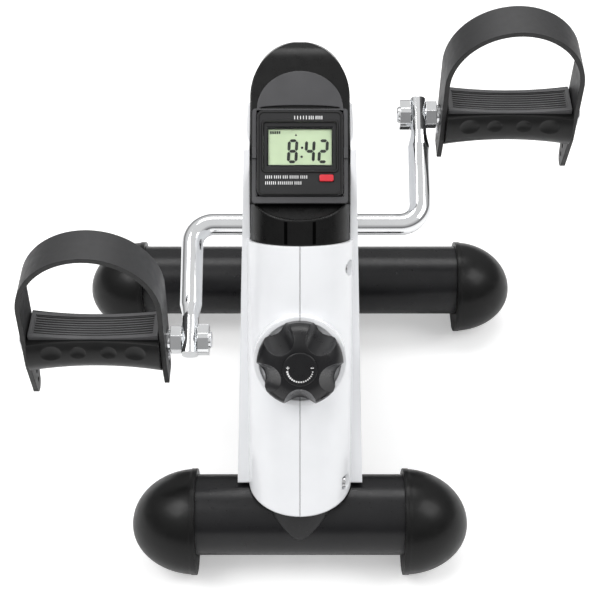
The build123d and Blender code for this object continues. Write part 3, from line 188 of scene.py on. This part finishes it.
def metal(name, colour, rough, stretch=(1, 1, 1), relief=0.03, edge=0.0004):
    """Bare or plated metal with fine polishing marks along one direction."""
    shader = Shader(name)
    dark = [channel * 0.93 for channel in colour]
    shader.put("Base Color", shader.tint(shader.noise(60), dark, colour))
    shader.put("Metallic", 1.0)
    marks = shader.noise(900, 5, stretch)
    shader.put("Roughness", shader.spread(marks, max(0.02, rough - 0.03), rough + 0.04))
    shader.bump(marks, relief, 0.00005, edge)
    return shader.material


def powder_coat():
    """Satin black powder coat with its slight orange peel."""
    shader = Shader("black_powder_coat")
    shader.put("Specular IOR Level", 0.3)
    drift = shader.noise(40)
    shader.put("Base Color", shader.tint(drift, (0.004, 0.004, 0.005), (0.007, 0.007, 0.008)))
    shader.put("Roughness", shader.spread(shader.noise(300, 4), 0.27, 0.37))
    shader.put("Coat Weight", 0.12)
    shader.put("Coat Roughness", 0.2)
    shader.bump(shader.noise(700, 2), 0.08, 0.0002, 0.0008)
    return shader.material


def strap_rubber():
    """Grey rubber strap with painted shade: its cut edges, facing front and back, are coloured darker."""
    shader = Shader("strap_rubber")
    facing = shader.nodes.new("ShaderNodeSeparateXYZ")
    normal = shader.nodes.new("ShaderNodeTexCoord").outputs["Normal"]
    shader.links.new(normal, facing.inputs["Vector"])
    edge = shader.nodes.new("ShaderNodeMath")
    edge.operation = "ABSOLUTE"
    shader.links.new(facing.outputs["Y"], edge.inputs[0])
    # painted shade: faces turned front or back (the strap's cut edges) get a darker colour than the outer
    # face
    colour = shader.tint(edge.outputs["Value"], (0.026, 0.026, 0.027), (0.005, 0.005, 0.005))
    shader.put("Base Color", colour)
    shader.put("Roughness", shader.spread(shader.noise(160, 4), 0.42, 0.55))
    shader.bump(shader.noise(2600, 2), 0.16, 0.0001, 0.0008)
    return shader.material


def display_glass():
    """Pale green-grey reflective display with faint lines."""
    shader = Shader("lcd_ground")
    drift = shader.noise(45, 2)
    shader.put("Base Color", shader.tint(drift, (0.54, 0.63, 0.43), (0.60, 0.69, 0.48)))
    shader.put("Roughness", shader.spread(shader.noise(900, 3), 0.3, 0.4))
    shader.bump(shader.wave(900, "X"), 0.04, 0.00002)
    return shader.material


def clear_lens():
    """Thin clear window that lets the display show through."""
    shader = Shader("clear_lens")
    shader.put("Base Color", (0.97, 1.0, 0.98, 1))
    shader.put("Roughness", shader.spread(shader.noise(500, 3), 0.01, 0.04))
    shader.put("Transmission Weight", 1.0)
    shader.put("IOR", 1.05)
    shader.bump(shader.noise(300, 2), 0.01, 0.00002)
    return shader.material


def woven_band():
    """Felted friction webbing: crossed bands under a fuzzy noise."""
    shader = Shader("friction_webbing")
    fibres = shader.noise(900, 5)
    shader.put("Base Color", shader.tint(fibres, (0.10, 0.08, 0.055), (0.22, 0.18, 0.12)))
    shader.put("Roughness", shader.spread(shader.noise(400, 4), 0.8, 0.95))
    shader.put("Sheen Weight", 0.3)
    shader.bump(shader.wave(420, "X"), 0.5, 0.0003)
    return shader.material


MATERIALS = {
    "black_steel": powder_coat(),
    "black_cap": moulded(
        "black_cap_plastic", (0.003, 0.003, 0.003), 0.33,
        grain=1500, relief=0.08, edge=0.0030, coat=0.03, specular=0.24,
    ),
    "white_shell": moulded(
        "white_gloss_plastic", (0.86, 0.87, 0.89), 0.22,
        grain=1800, relief=0.03, edge=0.0015, coat=0.4, drift=0.02,
    ),
    "hood_black": moulded(
        "hood_plastic", (0.003, 0.003, 0.003), 0.3,
        grain=1800, relief=0.06, edge=0.0018, coat=0.05, specular=0.26,
    ),
    "console_grey": moulded(
        "console_plastic", (0.012, 0.012, 0.013), 0.45,
        grain=2400, relief=0.2, edge=0.0005, specular=0.35,
    ),
    "lcd": display_glass(),
    "lens": clear_lens(),
    "board": moulded(
        "solder_mask", (0.01, 0.12, 0.05), 0.35, grain=1200, relief=0.2, edge=0.0, coat=0.4
    ),
    "cell": metal("cell_steel", (0.62, 0.62, 0.62), 0.25),
    "red_button": moulded(
        "red_button_plastic", (0.62, 0.020, 0.034), 0.32,
        grain=2000, relief=0.1, edge=0.0005, coat=0.2, drift=0.08,
    ),
    "chrome_bar": metal("chrome_plate", (0.86, 0.87, 0.88), 0.07, (1, 1, 6), 0.012, 0.0007),
    "bearing_steel": metal("bright_steel", (0.55, 0.55, 0.56), 0.22, (8, 1, 1)),
    "plate_steel": metal("zinc_plate", (0.42, 0.43, 0.42), 0.38, (1, 4, 1), 0.08),
    "drum_iron": metal("turned_iron", (0.22, 0.22, 0.23), 0.42, (20, 1, 1), 0.15),
    "band_felt": woven_band(),
    "pedal_plastic": moulded(
        "pedal_plastic", (0.005, 0.005, 0.005), 0.36,
        grain=1700, relief=0.08, edge=0.0010, coat=0.03, specular=0.3,
    ),
    "pad_grey": moulded(
        "pad_frame_plastic", (0.085, 0.085, 0.088), 0.5, grain=2600, relief=0.2, edge=0.0005
    ),
    "strap_rubber": strap_rubber(),
    "nylon": moulded("nylon", (0.72, 0.71, 0.66), 0.45),
    "knob_black": moulded(
        "knob_plastic", (0.008, 0.008, 0.009), 0.3,
        grain=2000, relief=0.08, edge=0.0007, coat=0.1, specular=0.35,
    ),
    "cable_black": moulded("cable_sheath", (0.01, 0.01, 0.01), 0.5),
}
TREAD = moulded("tread_rubber", (0.016, 0.016, 0.017), 0.55, grain=2600, relief=0.2, edge=0.0)
VISOR = moulded("visor_plastic", (0.045, 0.045, 0.048), 0.42, grain=2400, relief=0.15, edge=0.0010)
# painted shade: a near-black, dull sheet laid over the collar where the grooves' shade falls
GROOVE_SHADE = moulded(
    "groove_shadow", (0.001, 0.001, 0.001), 0.9, grain=2600, relief=0.1, edge=0.0, specular=0.02
)
RIM = moulded("bezel_rim_plastic", (0.006, 0.006, 0.006), 0.35, grain=2400, relief=0.1, edge=0.0)
PRINT_WHITE = moulded("white_print", (0.70, 0.70, 0.70), 0.5, grain=3000, relief=0.1, edge=0.0)
PRINT_BLACK = moulded("display_segment", (0.012, 0.014, 0.012), 0.45, grain=3000, relief=0.05, edge=0.0)

for part in frame["record"]["subparts"]:
    mesh = NODES[part["node"]].data
    mesh.materials.clear()
    mesh.materials.append(MATERIALS[part["material_slot"]])
NODES["console_visor"].data.materials[0] = VISOR


# ---------------------------------------------------------------- pieces
def link_piece(name, points, facets, material, body):
    """Make a mesh object from points and facets and let it ride on a body."""
    mesh = bpy.data.meshes.new(name)
    mesh.from_pydata([tuple(point) for point in points], [], facets)
    mesh.materials.append(material)
    tidy = bmesh.new()
    tidy.from_mesh(mesh)
    bmesh.ops.recalc_face_normals(tidy, faces=tidy.faces)
    tidy.to_mesh(mesh)
    tidy.free()
    made = bpy.data.objects.new(name, mesh)
    bpy.context.scene.collection.objects.link(made)
    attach(made, body)
    return made


class Marks:
    """Collects many small raised plates on one face into a single object."""

    def __init__(self, face, low, high):
        self.face = face
        self.low = low
        self.high = high
        self.points = []
        self.facets = []

    def plate(self, outline):
        """One plate from its (x, up) outline."""
        start = len(self.points)
        count = len(outline)
        for out in (self.low, self.high):
            self.points += [self.face.point(x, up, out) for x, up in outline]
        self.facets.append([start + corner for corner in range(count)])
        self.facets.append([start + count + corner for corner in range(count)])
        for corner in range(count):
            following = (corner + 1) % count
            self.facets.append(
                [start + corner, start + following, start + count + following, start + count + corner]
            )

    def bar(self, x, up, width, height):
        """A rectangle from its lower left corner."""
        self.plate([(x, up), (x + width, up), (x + width, up + height), (x, up + height)])

    def dot(self, x, up, radius, corners=12):
        """A round plate."""
        turn = [2 * math.pi * corner / corners for corner in range(corners)]
        self.plate([(x + radius * math.cos(angle), up + radius * math.sin(angle)) for angle in turn])

    def build(self, name, material, body):
        """Turn everything collected into one object."""
        return link_piece(name, self.points, self.facets, material, body)


def round_corner_outline(half_width, half_height, corner, steps=6):
    """Points of a rounded rectangle about the origin."""
    points = []
    for quarter, (side, top) in enumerate(((1, 1), (-1, 1), (-1, -1), (1, -1))):
        centre_x = side * (half_width - corner)
        centre_up = top * (half_height - corner)
        for step in range(steps + 1):
            angle = math.pi / 2 * (quarter + step / steps)
            points.append((centre_x + corner * math.cos(angle), centre_up + corner * math.sin(angle)))
    return points


def rim(name, face, up, half_width, half_height, corner, width, height):
    """A raised rounded-rectangle bead: outer foot, crest and inner foot."""
    rows = ((0.0, 0.0), (width * 0.3, height), (width * 0.7, height), (width, 0.0))
    points = []
    for inset, out in rows:
        outline = round_corner_outline(half_width - inset, half_height - inset, max(0.2, corner - inset))
        points += [face.point(x, up + rise, out) for x, rise in outline]
    count = len(points) // len(rows)
    facets = []
    for row in range(len(rows) - 1):
        near = row * count
        far = near + count
        for spot in range(count):
            following = (spot + 1) % count
            facets.append([near + spot, near + following, far + following, far + spot])
    link_piece(name, points, facets, RIM, "root")


# ---------------------------------------------------------------- display
DISPLAY_UP = 4.55            # middle of the display above the module's middle
DISPLAY_LEVEL = -3.05        # display surface below the module's face
DIGIT_WIDTH = 7.3
DIGIT_HEIGHT = 17.0
DIGIT_BOTTOM = -11.3
SEGMENT = 2.1
SEGMENT_GAP = 0.22
DIGIT_LEAN = 0.05            # sideways per unit of height
SEGMENT_HEIGHT = 0.12        # segments above the display surface
SEGMENTS = {8: "abcdefg", 4: "bcfg", 2: "abdeg"}
DIGITS = ((8, -9.2), (4, 2.8), (2, 12.0))
COLON_X = 0.9
COLON_UPS = (4.6, 11.0)
ARROW = ((-3.7, 8.1), (-1.9, 8.1), (-2.8, 9.7))


def segment_bars():
    """Outline rectangles (x, up, width, height) of the seven segments of one digit."""
    corner = SEGMENT / 2 + SEGMENT_GAP
    half = DIGIT_HEIGHT / 2
    wide = DIGIT_WIDTH - 2 * corner
    tall = half - corner - SEGMENT_GAP
    right = DIGIT_WIDTH - SEGMENT
    return {
        "a": (corner, DIGIT_HEIGHT - SEGMENT, wide, SEGMENT),
        "b": (right, half + SEGMENT_GAP, SEGMENT, tall),
        "c": (right, corner, SEGMENT, tall),
        "d": (corner, 0, wide, SEGMENT),
        "e": (0, corner, SEGMENT, tall),
        "f": (0, half + SEGMENT_GAP, SEGMENT, tall),
        "g": (corner, half - SEGMENT / 2, wide, SEGMENT),
    }


def mitred(bar):
    """Outline of a segment with both ends cut to points."""
    x, up, width, height = bar
    cut = SEGMENT / 2
    if width > height:
        return [
            (x, up + cut), (x + cut, up), (x + width - cut, up),
            (x + width, up + cut), (x + width - cut, up + height), (x + cut, up + height),
        ]
    return [
        (x + cut, up), (x + width, up + cut), (x + width, up + height - cut),
        (x + cut, up + height), (x, up + height - cut), (x, up + cut),
    ]


segments = Marks(console, DISPLAY_LEVEL, DISPLAY_LEVEL + SEGMENT_HEIGHT)
base = DISPLAY_UP + DIGIT_BOTTOM
for digit, left in DIGITS:
    for letter in SEGMENTS[digit]:
        outline = mitred(segment_bars()[letter])
        segments.plate([(left + x + DIGIT_LEAN * up, base + up) for x, up in outline])
for up in COLON_UPS:
    segments.dot(COLON_X + DIGIT_LEAN * up, base + up, 0.9)
segments.plate([(x, DISPLAY_UP + up) for x, up in ARROW])
for step in range(5):
    segments.bar(-20.8 + 1.5 * step, DISPLAY_UP + 9.5, 1.1, 2.0)
segments.build("display_segments", PRINT_BLACK, "root")


# ---------------------------------------------------------------- console prints and bezels
TICK_WIDTH = 0.6
TICK_PITCH = 1.35


def tick_row(marks, x, up, groups, height):
    """A row of small ticks in groups, standing in for a printed legend."""
    for count in groups:
        for _ in range(count):
            marks.bar(x, up, TICK_WIDTH, height)
            x += TICK_PITCH
        x += TICK_PITCH / 2


legend = Marks(console, -0.02, 0.10)
tick_row(legend, -4.0, 23.7, (1, 1, 1, 1, 1, 3, 4), 2.5)
tick_row(legend, -24.0, -18.2, (4, 4, 3, 5, 4), 2.2)
tick_row(legend, -24.0, -22.4, (6, 8, 4), 2.2)
legend.build("console_legend", PRINT_WHITE, "root")
rim("window_bezel", console, DISPLAY_UP, 27.0, 18.9, corner=3.5, width=2.0, height=0.9)
rim("case_bezel", console, 0.0, 29.2, 29.5, corner=4.0, width=1.2, height=0.6)

# ---------------------------------------------------------------- dots on the knob
DOT_COUNT = 16
DOT_RING = 8.8
DOT_START = 190.0            # degrees, anticlockwise round the dial
DOT_SWEEP = 160.0
DOT_RADIUS = 0.78
DOT_SHRINK = 0.02            # each dot is this much smaller than the one before
STROKE = 0.6                 # plus and minus signs
SIGN_WIDTH = 2.2
SIGN_UP = 0.9
PLUS_LEFT = -9.4
MINUS_LEFT = 7.2

dots = Marks(dial, -0.02, 0.12)
for step in range(DOT_COUNT):
    angle = math.radians(DOT_START + DOT_SWEEP * step / (DOT_COUNT - 1))
    radius = DOT_RADIUS - DOT_SHRINK * step
    dots.dot(DOT_RING * math.cos(angle), DOT_RING * math.sin(angle), radius)
plus_middle = (SIGN_WIDTH - STROKE) / 2
dots.bar(PLUS_LEFT, SIGN_UP, SIGN_WIDTH, STROKE)
dots.bar(PLUS_LEFT + plus_middle, SIGN_UP - plus_middle, STROKE, SIGN_WIDTH)
dots.bar(MINUS_LEFT, SIGN_UP, SIGN_WIDTH, STROKE)
dots.build("knob_dots", PRINT_WHITE, "knob")

# ---------------------------------------------------------------- ribbed treads
RIB_COUNT = 8
RIB_PITCH = 2.4
RIB_HALF_LENGTH = 42.0
RIB_STEPS = 14
TREAD_END = -1.3             # tread floor below the pad's highest level, at its ends
TREAD_DIP = 2.8              # and this much deeper in the middle


def tread(side):
    """Ribs along the sunken floor of one pad, following its dish."""
    pad = Face(flat_side(f"{side}_pedal_pad"), f"{side}_pedal_pad")
    section = ((-0.45, 0.0), (-0.3, 0.55), (0.3, 0.55), (0.45, 0.0))
    points = []
    facets = []
    for rib in range(RIB_COUNT):
        up = RIB_PITCH * (rib - (RIB_COUNT - 1) / 2)
        for step in range(RIB_STEPS + 1):
            x = RIB_HALF_LENGTH * (2 * step / RIB_STEPS - 1)
            floor = TREAD_END - TREAD_DIP * (1 - (x / RIB_HALF_LENGTH) ** 2)
            points += [pad.point(x, up + shift, floor + rise) for shift, rise in section]
            if step:
                now = len(points) - len(section)
                before = now - len(section)
                for spot in range(len(section) - 1):
                    facets.append([before + spot, before + spot + 1, now + spot + 1, now + spot])
    link_piece(f"{side}_tread", points, facets, TREAD, f"{side}_pedal")


tread("left")
tread("right")

# ---------------------------------------------------------------- painted shade stripes on the collar grooves
COLLAR_HALF = 34.8
COLLAR_NOSE = 27.3
GROOVE_X = 9.8
GROOVE_WIDTH = 2.2
GROOVE_LENGTH = 17.0
GROOVE_START = 1.2           # below the collar's top
GROOVE_PROUD = 0.15


def collar_shade_stripe(name, side):
    """Flat dark upright stripe of painted groove shade on the collar's rounded front, from the ledge down to
    the shell.
    """
    top = span("hood_collar", Vector((0, 0, 1)))[1]
    points = []
    for edge in (-GROOVE_WIDTH / 2, GROOVE_WIDTH / 2):
        x = side * GROOVE_X + edge
        sag = COLLAR_NOSE * (1 - math.sqrt(1 - (x / COLLAR_HALF) ** 2))
        surface = collar.point(x, 0, GROOVE_PROUD - sag)
        crown = (top - surface.z) / collar.up.z
        for drop in (GROOVE_START, GROOVE_LENGTH):
            points.append(surface + collar.up * (crown - drop * MM))
    link_piece(name, points, [[0, 1, 3, 2]], GROOVE_SHADE, "root")


collar_shade_stripe("left_collar_shade_stripe", -1)
collar_shade_stripe("right_collar_shade_stripe", 1)


# ---------------------------------------------------------------- spring behind the nut
slide = JOINTS["nut_slide"]
outwards = Vector(slide["axis"])
spring_near, spring_far = span("tension_spring", outwards)
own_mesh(NODES["tension_spring"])


# ---------------------------------------------------------------- stage, light and camera
CAMERA_ELEVATION = math.radians(43.0)
CAMERA_DISTANCE = 1.0456
AIM_HEIGHT = 0.1427
LENS_MM = 81.3
FLOOR_GLOW = 0.35
SKY_STRENGTH = 0.75


def area_light(name, place, aim, size, power):
    """Soft rectangular lamp pointed at a spot."""
    lamp = bpy.data.lights.new(name, "AREA")
    lamp.shape = "RECTANGLE"
    lamp.size, lamp.size_y = size
    lamp.energy = power
    holder = bpy.data.objects.new(name, lamp)
    holder.location = place
    holder.rotation_euler = (Vector(aim) - Vector(place)).to_track_quat("-Z", "Y").to_euler()
    bpy.context.scene.collection.objects.link(holder)


def build_floor():
    """Plain pale floor that looks brighter to the camera than it does to reflections."""
    bpy.ops.mesh.primitive_plane_add(size=12)
    floor = bpy.context.object
    floor.name = "studio_floor"
    shader = Shader("studio_floor_paint")
    shader.put("Base Color", shader.tint(shader.noise(3), (0.88, 0.88, 0.88), (0.92, 0.92, 0.92)))
    shader.put("Roughness", shader.spread(shader.noise(40), 0.6, 0.75))
    seen = shader.nodes.new("ShaderNodeLightPath").outputs["Is Camera Ray"]
    shader.put("Emission Color", (1, 1, 1, 1))
    shader.put("Emission Strength", shader.scaled(seen, FLOOR_GLOW))
    floor.data.materials.append(shader.material)


def build_world():
    """White backdrop; reflections see a bright sky over a darker horizon instead."""
    world = bpy.data.worlds.new("studio")
    bpy.context.scene.world = world
    world.use_nodes = True
    nodes, links = world.node_tree.nodes, world.node_tree.links
    height = nodes.new("ShaderNodeSeparateXYZ")
    links.new(nodes.new("ShaderNodeTexCoord").outputs["Generated"], height.inputs["Vector"])
    ramp = nodes.new("ShaderNodeValToRGB")
    ramp.color_ramp.elements[0].position = 0.0
    ramp.color_ramp.elements[0].color = (0.12, 0.12, 0.125, 1)
    ramp.color_ramp.elements[1].position = 0.6
    ramp.color_ramp.elements[1].color = (1.0, 1.0, 1.0, 1)
    links.new(height.outputs["Z"], ramp.inputs["Fac"])
    links.new(ramp.outputs["Color"], nodes["Background"].inputs["Color"])
    nodes["Background"].inputs["Strength"].default_value = SKY_STRENGTH
    backdrop = nodes.new("ShaderNodeBackground")
    backdrop.inputs["Color"].default_value = (1, 1, 1, 1)
    chooser = nodes.new("ShaderNodeMixShader")
    links.new(nodes.new("ShaderNodeLightPath").outputs["Is Camera Ray"], chooser.inputs["Fac"])
    links.new(nodes["Background"].outputs["Background"], chooser.inputs[1])
    links.new(backdrop.outputs["Background"], chooser.inputs[2])
    links.new(chooser.outputs["Shader"], nodes["World Output"].inputs["Surface"])


def build_camera():
    """Camera in front of the machine, looking down at it."""
    data = bpy.data.cameras.new("camera")
    data.lens = LENS_MM
    camera = bpy.data.objects.new("camera", data)
    reach = Vector((0, -math.cos(CAMERA_ELEVATION), math.sin(CAMERA_ELEVATION))) * CAMERA_DISTANCE
    camera.location = Vector((console.across, 0, AIM_HEIGHT)) + reach
    camera.rotation_euler = (-reach).to_track_quat("-Z", "Y").to_euler()
    bpy.context.scene.collection.objects.link(camera)
    bpy.context.scene.camera = camera


bpy.context.scene.view_settings.view_transform = "Standard"
build_floor()
build_world()
build_camera()
area_light("key", (-0.9, -0.5, 1.5), (0, 0, 0.1), (0.9, 0.9), 12)
area_light("fill", (1.1, -0.4, 1.2), (0, 0, 0.15), (0.8, 0.8), 7)
area_light("top", (0, 0.6, 1.7), (0, 0, 0.15), (1.4, 0.6), 9)
